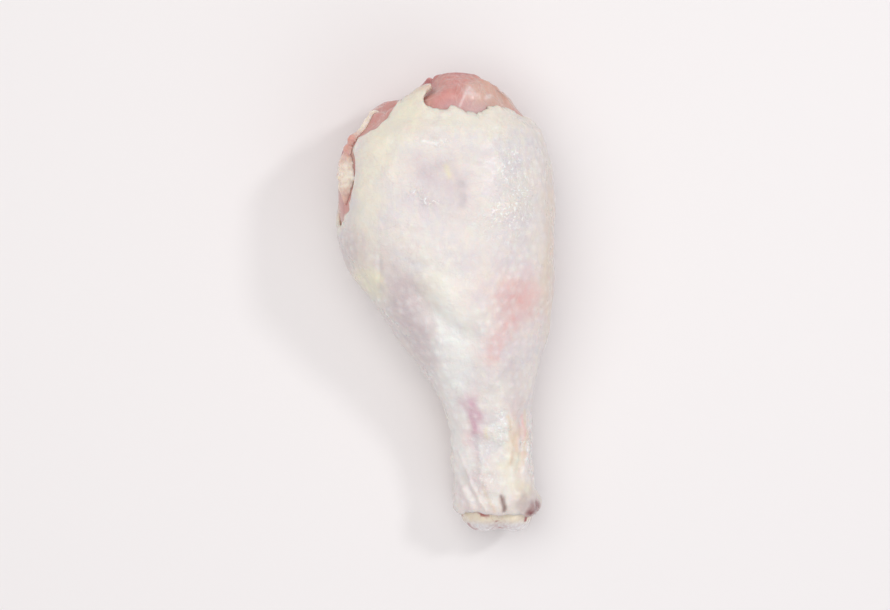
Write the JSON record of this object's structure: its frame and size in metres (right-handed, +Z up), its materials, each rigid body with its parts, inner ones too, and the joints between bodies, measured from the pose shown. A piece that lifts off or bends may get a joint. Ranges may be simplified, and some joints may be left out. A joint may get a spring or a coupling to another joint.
{
  "type": "raw chicken drumstick",
  "caption": "Raw chicken drumstick with its skin on, lying on its side: bare muscle and a fat strip at the cut knee end, the bone's knobs showing at the ankle.",
  "frame": {"origin": "middle of the bounding box at floor level", "axes": "+Y along the leg from the ankle to the knee, +Z up as it lies, +X to the right seen from above with the knee away"},
  "size_m": [0.0568, 0.1198, 0.0423],
  "materials": {
    "skin": "wet, thin and slightly see-through",
    "meat": "wet raw muscle",
    "bone": "wet cartilage",
    "fat": "soft and greasy"
  },
  "bodies": {
    "root": {"skin": "skin", "meat": "meat", "bone": "bone", "fat": "fat"}
  },
  "joints": []
}
